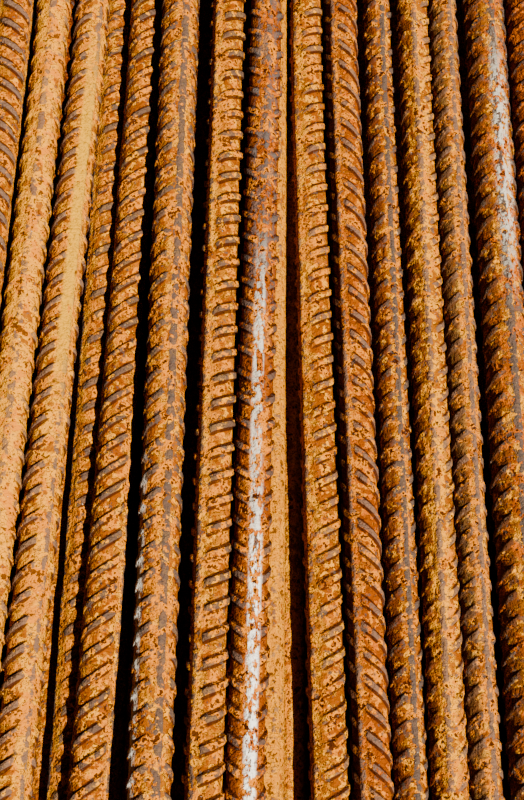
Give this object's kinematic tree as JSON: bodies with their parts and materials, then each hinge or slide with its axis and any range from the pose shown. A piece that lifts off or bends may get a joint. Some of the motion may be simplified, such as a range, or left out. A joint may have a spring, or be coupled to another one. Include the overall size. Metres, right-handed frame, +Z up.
{
  "type": "rebar bundle",
  "caption": "Flat bundle of rusted ribbed steel reinforcing bars, two to three layers deep, tied round with wire near both ends.",
  "frame": {"origin": "middle of the bundle's base, on the floor it lies on", "axes": "+Y along the bars, towards the end that is farther from the viewer; +X across the bundle to the right; +Z up"},
  "size_m": [0.3204, 3.025, 0.0615],
  "materials": {
    "rusted_bar": "hot-rolled ribbed bar under a dry layer of orange and brown rust",
    "tie_wire": "annealed black wire with brown rust"
  },
  "bodies": {
    "root": {"bottom_bar_01": "rusted_bar", "bottom_bar_02": "rusted_bar", "bottom_bar_03": "rusted_bar", "bottom_bar_04": "rusted_bar", "bottom_bar_05": "rusted_bar", "bottom_bar_06": "rusted_bar", "bottom_bar_07": "rusted_bar", "bottom_bar_08": "rusted_bar", "bottom_bar_09": "rusted_bar", "bottom_bar_10": "rusted_bar", "bottom_bar_11": "rusted_bar", "bottom_bar_12": "rusted_bar", "bottom_bar_13": "rusted_bar", "bottom_bar_14": "rusted_bar", "bottom_bar_15": "rusted_bar", "middle_bar_01": "rusted_bar", "middle_bar_02": "rusted_bar", "middle_bar_03": "rusted_bar", "middle_bar_04": "rusted_bar", "middle_bar_05": "rusted_bar", "middle_bar_06": "rusted_bar", "middle_bar_07": "rusted_bar", "middle_bar_08": "rusted_bar", "middle_bar_09": "rusted_bar", "middle_bar_10": "rusted_bar", "middle_bar_11": "rusted_bar", "middle_bar_12": "rusted_bar", "middle_bar_13": "rusted_bar", "middle_bar_14": "rusted_bar", "middle_bar_15": "rusted_bar", "middle_bar_16": "rusted_bar", "tie_wire_far": "tie_wire", "tie_wire_near": "tie_wire", "top_bar_01": "rusted_bar", "top_bar_02": "rusted_bar", "top_bar_03": "rusted_bar", "top_bar_04": "rusted_bar", "top_bar_05": "rusted_bar", "top_bar_06": "rusted_bar", "top_bar_07": "rusted_bar"}
  },
  "joints": []
}
